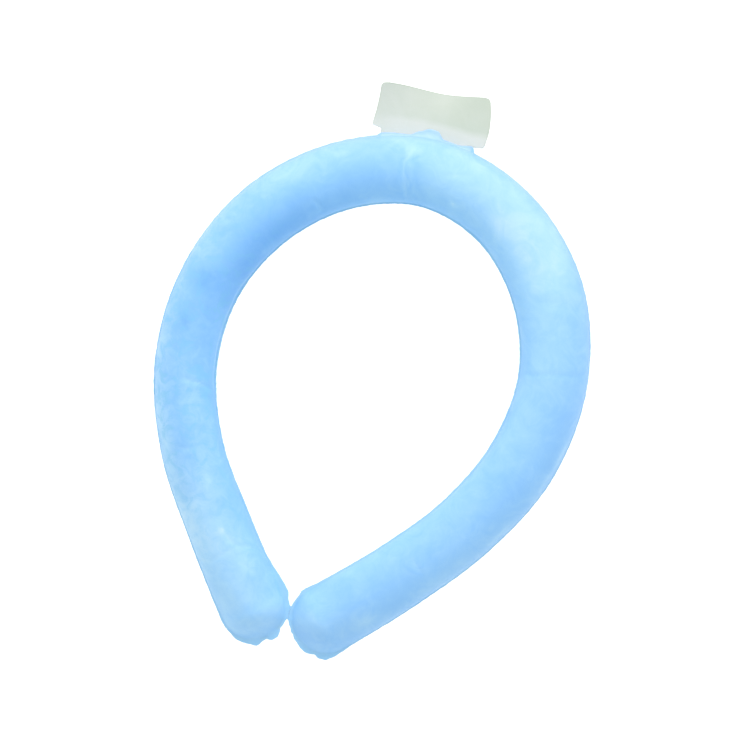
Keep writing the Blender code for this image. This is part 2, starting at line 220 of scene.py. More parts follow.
# The rows give depths and widths in millimetres
MARKS = tuple(Mark(points, depth * MM, width * MM, tone) for points, depth, width, tone in (
    (((0.484, 0.62), (0.478, 0.15), (0.4775, -0.25), (0.479, -0.60), (0.482, -0.97)), 0.24, 1.2, 0.22),
    (((0.490, 0.40), (0.483, 0.18)), 0.10, 1.2, -0.22),
    (((0.396, -0.46), (0.400, -0.86)), 0.22, 0.8, 0.24),
    (((0.418, 0.92), (0.426, 0.60)), 0.10, 0.9, 0.10),
    (((0.329, 0.80), (0.331, 0.44)), 0.10, 0.9, 0.10),
    (((0.262, 0.62), (0.251, 0.50), (0.247, 0.32), (0.241, 0.09)), 0.12, 1.2, -0.10),
    (((0.229, 0.62), (0.224, 0.44), (0.222, 0.20)), 0.10, 1.0, -0.09),
    (((0.511, -0.03), (0.521, 0.12), (0.531, 0.28)), 0.08, 0.9, 0.06),
    (((0.524, -0.55), (0.531, -0.70)), 0.12, 0.8, 0.22),
    (((0.645, -0.60), (0.657, 0.26), (0.663, 0.95)), 0.14, 2.2, -0.05),
    (((0.695, 0.54), (0.703, 0.98)), 0.08, 1.0, 0.05),
    (((0.201, 0.10), (0.196, -0.45), (0.191, -0.92)), 0.18, 1.0, 0.14),
    (((0.145, 0.37), (0.143, -0.21)), 0.12, 0.9, 0.12),
    (((0.071, -0.15), (0.062, -0.21), (0.054, -0.42), (0.046, -0.88)), 0.16, 1.0, 0.09),
    (((0.051, 0.60), (0.053, 0.18), (0.054, -0.21)), 0.12, 1.0, 0.08),
    (((0.040, -0.29), (0.029, -0.55)), 0.08, 0.9, 0.08),
    (((0.716, -0.98), (0.712, -0.08), (0.709, 0.98)), 0.11, 1.0, -0.05),
    (((0.911, -0.24), (0.910, 0.20)), 0.12, 0.9, 0.08),
    (((0.335, -0.975), (0.270, -0.970), (0.185, -0.975)), 0.0, 0.9, 0.42),
))
MARK_WANDER = 0.0007  # how far a mark strays from its straight runs
MARK_WANDER_SCALE = 0.005
MARK_TIP = 0.25  # how strong a mark still is at its two tips
MARK_FADE = 0.3  # how soon it has its full strength, as a share of its length
FOLD_RIDGE = 0.4  # the ridge beside a fold, as a share of the fold's depth
FOLD_RIDGE_PLACE = 1.8  # how far from the fold it stands, in the fold's widths
STREAK = 0.65  # a streak's width, as a share of its fold's


class Cloud(NamedTuple):
    """A pale or deep patch in the gel's milkiness, or in some broad drifts a patch of painted light or
    painted shade.
    """

    along: float  # share of the spine
    round: float  # share of the half-width as seen from above, as in a Mark
    length: float  # along the tube, metres
    breadth: float  # round the tube, metres
    tone: float  # + pale, - deep


# The rows give lengths and breadths in millimetres
CLOUDS_AND_PAINTED_LIGHT = tuple(Cloud(a, r, length * MM, breadth * MM, tone) for a, r, length, breadth, tone in (
    # Broad drifts: partly milkier and clearer gel, partly painted light and shade that follow how the light
    # falls on the ring
    (0.060, 0.15, 26, 12.0, 0.45),
    (0.170, -0.96, 45, 3.5, -0.26),
    (0.750, 0.65, 30, 7.0, -0.18),
    # Painted shade along the back's outer edge
    (0.550, 0.97, 60, 3.0, -0.22),
    # Painted light over the shade between the two ends, in this row and the next
    (-0.012, -0.78, 8, 6.0, 0.34),
    (1.018, -0.45, 8, 8.0, 0.30),
    (0.985, 0.20, 12, 9.0, -0.10),
    (0.995, 0.45, 5, 4.0, 0.09),
    (0.510, -0.05, 10, 11.0, 0.19),
    (0.583, 0.05, 11, 8.0, 0.12),
    (0.570, 0.82, 18, 3.0, -0.20),
    (0.680, -0.62, 10, 6.0, 0.13),
    (0.766, -0.35, 7, 8.0, 0.17),
    (0.820, 0.12, 13, 5.0, -0.11),
    (0.905, 0.80, 18, 4.0, 0.13),
    (0.100, -0.60, 6, 6.0, -0.16),
    (0.100, 0.25, 5, 4.0, 0.15),
    (0.062, -0.45, 4, 4.0, 0.12),
    (0.200, 0.82, 6, 4.0, -0.18),
    (0.155, 0.70, 8, 5.0, 0.17),
    (0.300, 0.45, 6, 5.0, 0.13),
    (0.366, 0.72, 6, 4.0, 0.09),
    (0.425, -0.05, 16, 6.0, -0.09),
    # Painted light on the deep inner side of the back
    (0.485, -0.80, 32, 6.0, 0.12),
    (0.493, 0.86, 20, 4.0, 0.11),
    (0.190, 0.80, 22, 4.0, 0.18),
    (0.120, 0.90, 60, 5.0, 0.28),
    (0.290, -0.45, 34, 9.0, -0.34),
    (0.375, -0.75, 44, 7.0, -0.30),
    (0.610, 0.00, 42, 14.0, 0.46),
    (0.810, -0.75, 46, 7.0, 0.14),
    # Patches
    (0.393, -0.80, 4, 1.8, 0.22),
    (0.334, -0.87, 4, 1.8, 0.22),
    (0.388, 0.58, 9, 4.0, 0.20),
    (0.478, -0.10, 0.9, 10.0, 0.14),
    (0.484, 0.50, 2.5, 3.0, 0.20),
    (0.429, 0.58, 3, 2.0, 0.20),
    (0.531, 0.66, 4, 2.5, 0.20),
    (0.530, -0.66, 2, 1.2, 0.22),
    (0.283, 0.12, 8, 5.0, -0.26),
    (0.246, 0.25, 6, 2.5, -0.12),
    (0.184, -0.30, 10, 5.0, 0.20),
    (0.182, 0.25, 5, 1.5, -0.12),
    (0.140, 0.05, 8, 3.0, -0.12),
    (0.115, -0.27, 2, 1.2, 0.24),
    (0.072, -0.10, 1.4, 1.0, 0.34),
    (0.969, 0.59, 4, 2.2, 0.24),
    (0.791, 0.88, 5, 1.6, 0.22),
    (0.844, 0.86, 5, 1.6, 0.22),
    (0.771, 0.92, 5, 1.6, 0.20),
    (0.911, -0.02, 2, 2.5, 0.08),
))
WARP = 0.0050  # how far the drifts' edges wander
WARP_SCALE = 0.0130
WARP_FULL = 0.008  # patches narrower than this wander less

# Tones that follow the film's shape, some of them painted light and shade
SEAM_LIP = 0.0006  # a weld no wider than this is a thin pale line
SEAM_LIP_FADE = 0.0010  # and one wider by this is blue all over
SEAM_PALE = 0.45
SEAM_BLUE = 0.2  # how blue the thin line still is
LAP_PAINTED_SHADE = -0.02  # painted shade on the laps over the tab's root, which tones down their highlight
LAP_FOOT_PAINTED_LIGHT = 0.44  # painted light on the tube where it meets them, over the shade in the fold
PAINTED_RIM_SHARE = 0.7  # share of the painted rim shade on the tube just above a narrow weld, where its side turns away
RIM_INNER = 0.3  # how much more of that painted shade on the ring's inside, and less on its outside
BACK_SPAN = 0.2  # how much of the spine has painted light and shade on the back's sides: lilac on the lit outer side, clear blue on the shaded inner side
OUTER_SHIFT = 0.12  # how far outside the top the two meet
PAST_WELD = 0.02  # what a point counts further round than the one before it, past the weld


# The ring's plan

class Section(NamedTuple):
    """Arrays with a row for each spoke of the tube: from the spine straight out to the trimmed weld."""

    foot: np.ndarray  # on the spine, in plan
    out: np.ndarray  # the way that the spoke points, in plan
    width: np.ndarray  # of the filled tube, along the spoke
    height: np.ndarray  # of the upper skin over the weld plane
    lip: np.ndarray  # how far the weld stands out past the width
    part: np.ndarray  # how far each film stands from the weld plane at its lip
    along: np.ndarray  # share of the spine
    side: np.ndarray  # +1 towards the ring's outside, -1 towards its inside
    taper: np.ndarray  # 1 for a round dome, more where it falls off like a pillow's edge


def smooth(rows, at):
    """The Catmull-Rom curve through the rows, read at positions that count rows from 0."""
    padded = np.vstack([2 * rows[0] - rows[1], rows, 2 * rows[-1] - rows[-2]])
    first = np.clip(np.floor(at).astype(int), 0, len(rows) - 2)
    part = (at - first)[:, None]
    a, b, c, d = (padded[first + k] for k in range(4))
    return b + 0.5 * part * (c - a + part * (2 * a - 5 * b + 4 * c - d + part * (3 * (b - c) + d - a)))


class Spine:
    """The tube's centreline in plan, with its half-width and upper height."""

    def __init__(self, left_x, right_x):
        half_width = OPENING_WIDTH / 2 + LIP + TUBE_WIDTH / 2
        length = OPENING_LENGTH + LIP + TUBE_WIDTH / 2
        self.rows = np.array([
            (s.side * half_width, s.along * length, s.width * TUBE_WIDTH / 2, s.height * TUBE_HEIGHT / 2)
            for s in STATIONS
        ])
        self.rows[0, 0], self.rows[-1, 0] = left_x, right_x
        points = self.read(np.linspace(0, 1, DENSE))[:, :2]
        self.length = np.linalg.norm(np.diff(points, axis=0), axis=1).sum()

    def read(self, shares):
        """X, Y, half-width and upper height at shares of the spine."""
        return smooth(self.rows, np.asarray(shares, float) * (len(self.rows) - 1))

    def outward(self, shares):
        """Unit vectors in plan from the spine to the ring's outside."""
        shares = np.asarray(shares, float)
        step = 1 / DENSE
        tangent = (self.read(np.minimum(shares + step, 1)) - self.read(np.maximum(shares - step, 0)))[:, :2]
        tangent /= np.linalg.norm(tangent, axis=1)[:, None]
        return np.stack([-tangent[:, 1], tangent[:, 0]], axis=1)


def trim_lip(trims, angle):
    """How far the ragged trim stands out at an angle round an end."""
    return END_LIP * np.interp(np.degrees(angle), [t[0] for t in trims], [t[1] for t in trims])


def cap_width(half_width, angle):
    """A rounded end's reach from its centre, at an angle from the way that it points."""
    return half_width * (1 - CAP_BLUNTNESS * np.cos(angle))


def end_frame(spine, share):
    """An end's section, the way that it points and the way to the ring's outside."""
    outward = spine.outward([share])[0]
    ahead = (1 if share else -1) * np.array([outward[1], -outward[0]])
    return spine.read([share])[0], ahead, outward


def end_reach(spine, share, trims):
    """How far an end's trimmed weld reaches past its centre towards the other end."""
    section, ahead, outward = end_frame(spine, share)
    angles = np.radians(np.linspace(-90, 90, DENSE))
    radius = cap_width(section[2], angles) + trim_lip(trims, angles)
    towards = 1 if share == 0 else -1
    return (radius * towards * (np.cos(angles) * ahead[0] + np.sin(angles) * outward[0])).max()


def settled_spine():
    """The spine whose two ends stand END_GAP apart."""
    left_x, right_x = -TUBE_WIDTH / 2, TUBE_WIDTH / 2
    for _ in range(4):
        spine = Spine(left_x, right_x)
        left_x = -(END_GAP / 2 + end_reach(spine, 0.0, LEFT_TRIM))
        right_x = END_GAP / 2 + end_reach(spine, 1.0, RIGHT_TRIM)
    return Spine(left_x, right_x)


class TabFrame:
    """Where the tab stands: its middle on the tube's edge, its across and its outward directions."""

    def __init__(self, spine):
        section = spine.read([TAB_PLACE])[0]
        normal = spine.outward([TAB_PLACE])[0]
        c, s = cos(TAB_SKEW), sin(TAB_SKEW)
        self.outward = np.array([c * normal[0] - s * normal[1], s * normal[0] + c * normal[1]])
        self.across = np.array([self.outward[1], -self.outward[0]])
        self.origin = section[:2] + normal * section[2]
        shares = np.linspace(0, 1, DENSE)
        sections = spine.read(shares)
        edge = sections[:, :2] + spine.outward(shares) * sections[:, 2:3]
        local = (edge - self.origin) @ np.stack([self.across, self.outward], axis=1)
        near = (np.abs(local[:, 0]) < TAB_WIDTH) & (np.abs(local[:, 1]) < TAB_WIDTH)
        self.edge_across, self.edge_out, self.edge_shares = local[near, 0], local[near, 1], shares[near]

    def points(self, across, out):
        """Places in plan, from how far across and how far out each is."""
        return self.origin + across[:, None] * self.across + out[:, None] * self.outward

    def tube_edge(self, across):
        """How far out the tube's edge lies."""
        return np.interp(across, self.edge_across, self.edge_out)

    def across_at(self, shares):
        """How far across the tab each spoke meets the tube's edge, or 1 m for one away from the tab."""
        return np.interp(shares, self.edge_shares, self.edge_across, left=1, right=1)


def rough(points, scale, seed):
    """Smooth noise from -1 to 1 at each point. The seed picks another stretch of the noise."""
    shift = Vector((seed * 7.31, seed * 3.17, seed * 1.73))
    return np.array([noise.noise(Vector(p) / scale + shift) for p in points])


def flat_points(places):
    """Places in plan as points at height 0."""
    return np.pad(places, ((0, 0), (0, 1)))


def side_sections(spine, tab, shares, side, ragged):
    """Spokes along one side of the tube."""
    rows = spine.read(shares)
    from_left, from_right = shares * spine.length, (1 - shares) * spine.length
    half_width = rows[:, 2]
    left = trim_lip(LEFT_TRIM, side * (pi / 2 + from_left / half_width))
    right = trim_lip(RIGHT_TRIM, side * (pi / 2 + from_right / half_width))
    lip = np.maximum(LIP, np.where(from_left < from_right, left, right))
    lip = lip + ragged * TRIM_NOISE * rough(flat_points(rows[:, :2]), TRIM_SCALE, 2 + side)
    across = tab.across_at(shares)
    beside = np.maximum(-NECK_LEFT - across, across - NECK_RIGHT)
    neck = ease(1 - beside / NECK_CLOSE) * (side > 0)
    opened = ease(-beside / NECK_CLOSE) * (side > 0)
    lap = TAB_SEAM * smooth_table(LAPS, across / (NECK_WIDTH / 2))
    lip = lip * (1 - neck) + lap * neck
    part = HAIRLINE + TAB_THICKNESS / 2 * opened
    ones = np.ones(len(shares))
    out = side * spine.outward(shares)
    taper = 1 + PILLOW_SIDE * ease(1 - np.minimum(from_left, from_right) / PILLOW_LENGTH)
    return Section(rows[:, :2], out, half_width, rows[:, 3], lip, part, shares, side * ones, taper)


def ease(share):
    """0 below 0, 1 above 1, with a soft start and end."""
    share = np.clip(share, 0, 1)
    return share * share * (3 - 2 * share)


def smooth_table(table, at):
    """Reads a table of (place, value) rows, eased between its rows."""
    places, values = np.array(table).T
    i = np.clip(np.searchsorted(places, at) - 1, 0, len(places) - 2)
    t = ease((at - places[i]) / (places[i + 1] - places[i]))
    return values[i] * (1 - t) + values[i + 1] * t


def cap_sections(spine, share, trims, turn, steps, ragged):
    """Spokes round a free end, from its outer side to its inner side, or back if turn is -1."""
    section, ahead, outward = end_frame(spine, share)
    angles = turn * np.radians(90) * (1 - 2 * (np.arange(1, steps) / steps))
    out = np.cos(angles)[:, None] * ahead + np.sin(angles)[:, None] * outward
    ones = np.ones(len(angles))
    lip = trim_lip(trims, angles)
    edge = flat_points(section[:2] + out * section[2])
    lip = np.maximum(lip + ragged * END_TRIM_NOISE * rough(edge, END_TRIM_SCALE, 5), LIP_LEAST)
    width = cap_width(section[2], angles)
    taper = 1 + PILLOW_SIDE + (PILLOW - PILLOW_SIDE) * np.cos(angles) ** 2
    if ragged:
        lip = touching_lip(section, out, width, lip, -1 if share == 0 else 1)
    return Section(
        np.tile(section[:2], (len(angles), 1)), out, width, section[3] * ones,
        lip, HAIRLINE * ones, share * ones, np.sin(angles), taper,
    )


def touching_lip(section, out, width, lip, end):
    """The lip of an end where it presses against the other end's, along the plane x = 0."""
    towards = np.maximum(-end * out[:, 0], 1e-6)
    reach = (abs(section[0]) - TOUCH_GAP / 2) / towards
    level = section[1] + reach * out[:, 1]
    fade = ease((level - TOUCH[0]) / TOUCH_FADE + 0.5) * ease((TOUCH[1] - level) / TOUCH_FADE + 0.5)
    room = reach - width
    return np.minimum(lip + (room - lip) * fade, room)


def ring_sections(spine, tab, steps, cap_steps, ragged=1.0):
    """The loop of spokes: the outer side, the right end, the inner side and the left end."""
    shares = np.linspace(0, 1, steps + 1)
    loop = (
        side_sections(spine, tab, shares, 1, ragged),
        cap_sections(spine, 1.0, RIGHT_TRIM, 1, cap_steps, ragged),
        side_sections(spine, tab, shares[::-1], -1, ragged),
        cap_sections(spine, 0.0, LEFT_TRIM, -1, cap_steps, ragged),
    )
    return Section(*(np.concatenate(columns) for columns in zip(*loop)))


# Relief of the film

def arc_place(across):
    """Metres round the tube from its top, for a share of the half-width as seen from above."""
    return np.arcsin(np.clip(across, -1, 1)) * TUBE_WIDTH / 2


def film_places(spine, section, turns):
    """Each point's place on the film laid out flat: metres along the spine and on past its ends over
    the caps, and metres round the tube from its top."""
    around = turns * TUBE_WIDTH / 2 * pi / 2
    past = np.sqrt(np.clip(1 - section.side**2, 0, 1)) * np.where(section.along > 0.5, 1, -1)
    along = section.along[:, None] * spine.length + past[:, None] * around
    return along, section.side[:, None] * around


def mark_shares(spine, along, around, places):
    """For each mark, how near each point is to it, in the mark's widths, and how strong it is there."""
    flat = places.reshape(-1, 3)
    along = along + MARK_WANDER * rough(flat, MARK_WANDER_SCALE, 33).reshape(along.shape)
    around = around + MARK_WANDER * rough(flat, MARK_WANDER_SCALE, 34).reshape(along.shape)
    for mark in MARKS:
        line = np.array([(a * spine.length, arc_place(r)) for a, r in mark.points])
        nearest = np.full(along.shape, 1e9)
        for (ax, ay), (bx, by) in zip(line, line[1:]):
            dx, dy = bx - ax, by - ay
            t = np.clip(((along - ax) * dx + (around - ay) * dy) / (dx * dx + dy * dy), 0, 1)
            nearest = np.minimum(nearest, np.hypot(along - ax - t * dx, around - ay - t * dy))
        span = np.hypot(*(line[-1] - line[0]))
        from_start = np.hypot(along - line[0, 0], around - line[0, 1])
        from_end = np.hypot(along - line[-1, 0], around - line[-1, 1])
        fade = np.clip(np.minimum(from_start, from_end) / (MARK_FADE * span) + MARK_TIP, 0, 1)
        yield mark, nearest / mark.width, fade


def fold_relief(spine, along, around, places):
    """Depth of the folds in the film."""
    depth = np.zeros_like(along)
    for mark, near, fade in mark_shares(spine, along, around, places):
        ridge = FOLD_RIDGE * np.exp(-((near - FOLD_RIDGE_PLACE) ** 2))
        depth += mark.depth * fade * (np.exp(-(near**2)) - ridge)
    return depth


def relief(spine, section, turns, places):
    """How far the film's skin sinks along its own normal at each point."""
    along, around = film_places(spine, section, turns)
    flat = places.reshape(-1, 3)
    lumps = sum(rough(flat, scale, seed) * height for scale, seed, height in LUMPS)
    puckers = rough(flat * (1, 1, PUCKER_STRETCH), PUCKER_SCALE, 13).reshape(along.shape)
    near_seam = np.clip((turns - PUCKER_FROM) / (1 - PUCKER_FROM), 0, 1) ** 1.5
    at_end = (section.taper[:, None] - 1) / PILLOW
    strength = 0.5 - PUCKER_INNER * section.side[:, None] + PUCKER_END * at_end
    sink = lumps.reshape(along.shape) + fold_relief(spine, along, around, places)
    sink = sink + puckers * near_seam * strength * PUCKER
    return sink * np.clip((1 - turns) / RELIEF_FADE, 0, 1)


def crown_height(section, upper, inset, base):
    """How far a skin rises over its base. The lower one's height is the same all along the tube."""
    height = section.height if upper else np.full(len(section.width), TUBE_HEIGHT / 2)
    return height - inset - base


def dome(spine, section, upper, steps, inset, base, stop=1.0):
    """The tube's skin from over the spine to its edge, inset from the film's outer face: an array
    of spokes by steps by XYZ, and the turn of each point, which is 1 where the skin stands upright.
    stop is the turn of the last step."""
    crown = crown_height(section, upper, inset, base)
    turns = np.linspace(0, 1, steps + 1)[None, :] * (stop * np.ones(len(section.width)))[:, None]
    angle = turns * pi / 2
    reach = (section.width - inset)[:, None] * np.sin(angle)
    rise = base[:, None] + crown[:, None] * np.cos(angle) ** section.taper[:, None]
    if not upper:
        rise = np.minimum(rise, WELD - inset)
    sign = 1 if upper else -1
    places = np.empty((*reach.shape, 3))
    places[..., :2] = section.foot[:, None, :] + reach[..., None] * section.out[:, None, :]
    places[..., 2] = WELD + sign * rise
    normal = np.empty_like(places)
    normal[..., :2] = section.out[:, None, :] * np.sin(angle)[..., None]
    normal[..., 2] = sign * np.cos(angle)
    sink = relief(spine, section, turns, places)
    if not upper:
        sink = sink * np.clip((WELD - rise - REST_EDGE) / REST_FADE, 0, 1)
    return places - normal * sink[..., None], turns


# Meshes and objects

def ring_object(name, chains, flip, layers):
    """An object that joins each chain of points to the next and the last to the first. layers maps
    a name to a value for each point."""
    count, steps = chains.shape[:2]
    mesh = bmesh.new()
    for key in layers:
        mesh.verts.layers.float.new(key)
    made = [mesh.verts.new(p) for p in chains.reshape(-1, 3)]
    for key, values in layers.items():
        store = mesh.verts.layers.float[key]
        for vert, value in zip(made, values.reshape(-1)):
            vert[store] = value
    for i in range(count):
        a, b = i * steps, (i + 1) % count * steps
        for j in range(steps - 1):
            corners = (made[a + j], made[a + j + 1], made[b + j + 1], made[b + j])
            mesh.faces.new(corners[::-1] if flip else corners)
    bmesh.ops.remove_doubles(mesh, verts=mesh.verts, dist=MERGE)
    bmesh.ops.dissolve_degenerate(mesh, edges=mesh.edges, dist=MERGE)
    return mesh_object(name, mesh)


def mesh_object(name, mesh):
    """A smooth object from a bmesh, which it frees."""
    data = bpy.data.meshes.new(name)
    mesh.to_mesh(data)
    mesh.free()
    data.shade_smooth()
    obj = bpy.data.objects.new(name, data)
    bpy.context.scene.collection.objects.link(obj)
    return obj


def fillet(section, upper, base):
    """The skin's curve from the dome into the lip: its points, the turn where it leaves the dome,
    and how far past the dome's edge it reaches."""
    crown = crown_height(section, upper, 0.0, base)
    size = np.minimum(section.lip * FILLET_SHARE, FILLET_MOST)
    leave = np.arccos((size / crown) ** (1 / section.taper))
    start_reach = section.width * np.sin(leave)
    fall = crown * section.taper * np.cos(leave) ** (section.taper - 2) * np.sin(leave)
    middle_reach = start_reach + size * section.width / fall
    end_reach = section.width + size
    sign = 1 if upper else -1
    points = []
    for t in (np.arange(FILLET_STEPS) + 1) / FILLET_STEPS:
        reach = (1 - t) ** 2 * start_reach + 2 * t * (1 - t) * middle_reach + t**2 * end_reach
        rise = base + (1 - t) ** 2 * size
        points.append(spoke_points(section, reach, WELD + sign * rise))
    return np.stack(points, axis=1), leave / (pi / 2), size


def spoke_points(section, reach, height):
    """A point on each spoke, at a reach from the spine and a height."""
    plan = section.foot + reach[:, None] * section.out
    return np.column_stack([plan, height + 0 * reach])


def skin(name, spine, section, upper):
    """A film skin: its outer face out to the trimmed lip, back along the inner face, closed."""
    sign = 1 if upper else -1
    base = section.part + FLANGE
    curve, leave, size = fillet(section, upper, base)
    outer, turns = dome(spine, section, upper, DOME_STEPS, 0.0, base, leave)
    inner, inner_turns = dome(spine, section, upper, DOME_STEPS, FILM, np.maximum(section.part, HAIRLINE))
    lip = []
    for share, height in LIP_PROFILE:
        reach = section.width + size + (section.lip - size) * share
        lip.append(spoke_points(section, reach, WELD + sign * (section.part + FLANGE * height)))
    chains = np.concatenate([outer, curve, np.stack(lip, axis=1), inner[:, ::-1]], axis=1)
    face = np.zeros(DOME_STEPS + 1)
    weld = np.concatenate([face, np.linspace(1 / FILLET_STEPS, 1, FILLET_STEPS), np.ones(len(lip)), face])
    beyond = 1.0 + PAST_WELD * np.arange(1, FILLET_STEPS + len(lip) + 1)
    around = np.concatenate([turns, np.tile(beyond, (len(turns), 1)), inner_turns[:, ::-1]], axis=1)
    return ring_object(name, chains, not upper, film_layers(spine, section, around, weld, chains))


def film_layers(spine, section, around, weld, places):
    """What the film's material reads at each point of a skin: its share of the spine, how far it is on the
    back's outer or inner side for painted light and shade, its milkiness with painted light and shade in
    it, how much it is weld, and the painted shade just above the weld."""
    lap = np.clip(section.part / (TAB_THICKNESS / 2), 0, 1)[:, None]
    narrow = np.maximum(1 - np.clip((section.lip - SEAM_LIP) / SEAM_LIP_FADE, 0, 1)[:, None], lap)
    side = section.side[:, None]
    turned = np.clip(around, 0, 1)
    # Painted light in the fold at the laps' foot, and a slight painted shade on the laps
    lap_painted_light_and_shade = LAP_PAINTED_SHADE * weld + LAP_FOOT_PAINTED_LIGHT * (1 - weld) * turned**4
    pale = SEAM_PALE * narrow * weld + lap * lap_painted_light_and_shade
    back = np.exp(-(((section.along - 0.5) / BACK_SPAN) ** 2))[:, None]
    return {
        "along": np.repeat(section.along[:, None], around.shape[1], axis=1),
        # painted light and shade: the back's outer side faces the light, its inner side is in shade
        "outer": back * (side * turned - OUTER_SHIFT),
        # milkiness, with painted light and shade in the drifts and at the laps' foot
        "cloud_and_painted_light": cloudiness_and_painted_light(spine, section, around, places) + pale,
        "weld": weld * (1 - (1 - SEAM_BLUE) * narrow),
        # painted shade on the tube's edge just above a narrow weld
        "painted_rim_shade": turned**3 * (narrow - lap) * (PAINTED_RIM_SHARE - RIM_INNER * side),
    }


def cloudiness_and_painted_light(spine, section, turns, places):
    """How much paler or deeper the gel is at each point, with the painted light and shade of the broad
    drifts in it.
    """
    flat = places.reshape(-1, 3)
    wander_along = WARP * rough(flat, WARP_SCALE, 31).reshape(turns.shape)
    wander_round = WARP * rough(flat, WARP_SCALE, 32).reshape(turns.shape)
    along, around = film_places(spine, section, turns)
    tone = np.zeros_like(along)
    for c in CLOUDS_AND_PAINTED_LIGHT:
        share = min(1.0, c.breadth / WARP_FULL) ** 2
        far_along = (along + share * wander_along - c.along * spine.length) / c.length
        far_round = (around + share * wander_round - arc_place(c.round)) / c.breadth
        tone += c.tone * np.exp(-(far_along**2) - far_round**2)
    for mark, near, fade in mark_shares(spine, along, around, places):
        tone += mark.tone * fade * np.exp(-((near / STREAK) ** 2))
    return tone


def gel_body(name, spine, section):
    """The gel that fills the two skins."""
    inset = FILM + GEL_CLEARANCE
    zero = np.zeros(len(section.width))
    over, _ = dome(spine, section, True, GEL_DOME_STEPS, inset, zero)
    under, _ = dome(spine, section, False, GEL_DOME_STEPS, inset, zero)
    chains = np.concatenate([over, under[:, -2::-1]], axis=1)
    return ring_object(name, chains, True, {})


def tab_lift(share, free_share):
    """How far the tab curls up, at a share of its half-width and of the way to its free edge."""
    wave = -TAB_TWIST * share - TAB_BOW * np.cos(pi * share)
    return TAB_CURL * free_share**2 * wave


def tab_grid(tab):
    """Rows of points from the tab's root to its free edge."""
    body = np.concatenate([
        np.linspace(BODY_REACH, TAB_BODY_END, TAB_BODY_ROWS),
        np.linspace(TAB_EDGE_START, 1, TAB_EDGE_ROWS),
    ])
    at = np.interp(body, [row.reach for row in TAB_ROWS], range(len(TAB_ROWS)))
    sides = smooth(np.array([(row.left, row.right) for row in TAB_ROWS]), at) * TAB_WIDTH / 2
    lines = [(reach, NECK_LEFT, NECK_RIGHT) for reach in np.linspace(0, NECK_REACH, TAB_ROOT_ROWS)]
    lines += [(reach, left, right) for reach, (left, right) in zip(body, sides)]
    grid = []
    for reach, left, right in lines:
        across = np.linspace(-left, right, TAB_COLUMNS)
        share = across / (TAB_WIDTH / 2)
        root = tab.tube_edge(np.clip(across, -NECK_LEFT, NECK_RIGHT)) + ROOT_GAP
        dip = np.cos(pi / 2 * np.clip((share - SAG_PLACE) / SAG_SPAN, -1, 1)) ** 2
        free = TAB_LENGTH - TAB_EDGE_SAG * dip
        lean = TAB_LEAN * share * min(1, reach / BODY_REACH) * (1 - reach)
        out = root + (free - root) * (reach - lean)
        free_share = np.clip((out - TAB_SEAM) / (free - TAB_SEAM), 0, 1)
        place = tab.points(across, out)
        wave = rough(flat_points(place), TAB_WAVE_SCALE, 21) * TAB_WAVE * free_share
        grid.append(np.column_stack([place, WELD + tab_lift(share, free_share) + wave]))
    return np.array(grid), [line[0] for line in lines]


def tab_object(name, tab):
    """The tab. Its points know how far out and how far across it they are."""
    grid, reaches = tab_grid(tab)
    mesh = bmesh.new()
    mesh.verts.layers.float.new("reach")
    mesh.verts.layers.float.new("across")
    reach_layer, across_layer = (mesh.verts.layers.float[key] for key in ("reach", "across"))
    made = []
    for row, reach in zip(grid, reaches):
        line = []
        for i, p in enumerate(row):
            vert = mesh.verts.new(p)
            vert[reach_layer] = reach
            vert[across_layer] = 2 * i / (TAB_COLUMNS - 1) - 1
            line.append(vert)
        made.append(line)
    for a, b in zip(made, made[1:]):
        for i in range(TAB_COLUMNS - 1):
            mesh.faces.new((a[i], a[i + 1], b[i + 1], b[i]))
    obj = mesh_object(name, mesh)
    thickness = obj.modifiers.new("thickness", "SOLIDIFY")
    thickness.thickness = TAB_THICKNESS * TAB_WALL
    thickness.offset = 0.0
    edges = obj.modifiers.new("edges", "BEVEL")
    edges.width = TAB_THICKNESS * TAB_ROUNDING
    edges.segments = 2
    edges.limit_method = "ANGLE"
    edges.angle_limit = radians(50)
    return obj


# Materials

LAVENDER = (1.09, 1.00, 1.0)
# Painted light and shade at the back: the tint of the lit outer side and of the shaded inner side
LIT_SIDE_LILAC = (1.03, 0.89, 1.0)
SHADED_SIDE_CLEAR = (0.88, 1.00, 1.03)
# Painted shade for the tube's edge just above a narrow weld
PAINTED_RIM_SHADE = (0.86, 0.87, 0.86)
WELD_BLUE = (0.350, 0.665, 0.950)
DEEP_BLUE = (0.190, 0.476, 0.925)
MID_BLUE = (0.275, 0.585, 0.968)
PALE_BLUE = (0.398, 0.712, 0.992)
TEAL_BLUE = (0.250, 0.600, 0.880)
MILK_BLUE = (0.560, 0.822, 1.000)
TAB_GREEN = (0.540, 0.615, 0.525)
TAB_PALE = (0.680, 0.720, 0.675)
GEL_BLUE = (0.120, 0.400, 0.930)
FLOOR_GREY = (0.35, 0.35, 0.35)
FLOOR_GLOW = 0.98

FILM_RAMP = ((0.0, DEEP_BLUE), (0.38, MID_BLUE), (0.72, PALE_BLUE), (1.0, MILK_BLUE))
FILM_TONE = 0.42  # on that ramp, where no drift, mark or noise moves it
CLOUD_SHARE = 0.75  # how far a drift or mark of tone 1 moves it
FEATHER = 0.16  # how far the finest noise moves it
MARBLE = 0.42  # and how much further where the gel is most marbled
MARBLED_AT = 0.21  # the share of the spine where it is
MARBLED_SPAN = 0.125
TEAL_MOST = 0.5  # share of teal in the deepest feathers there
TEAL_SLOPE = 5.0
LAVENDER_SHARE = 0.9
WELD_SHARE = 0.8  # of WELD_BLUE in a wide weld
GEL_RAMP = ((0.3, DEEP_BLUE), (0.5, GEL_BLUE), (0.7, MID_BLUE))
TAB_RAMP = ((0.0, TAB_GREEN), (1.0, TAB_PALE))
TAB_TONE = 0.34  # on that ramp, in the tab's middle
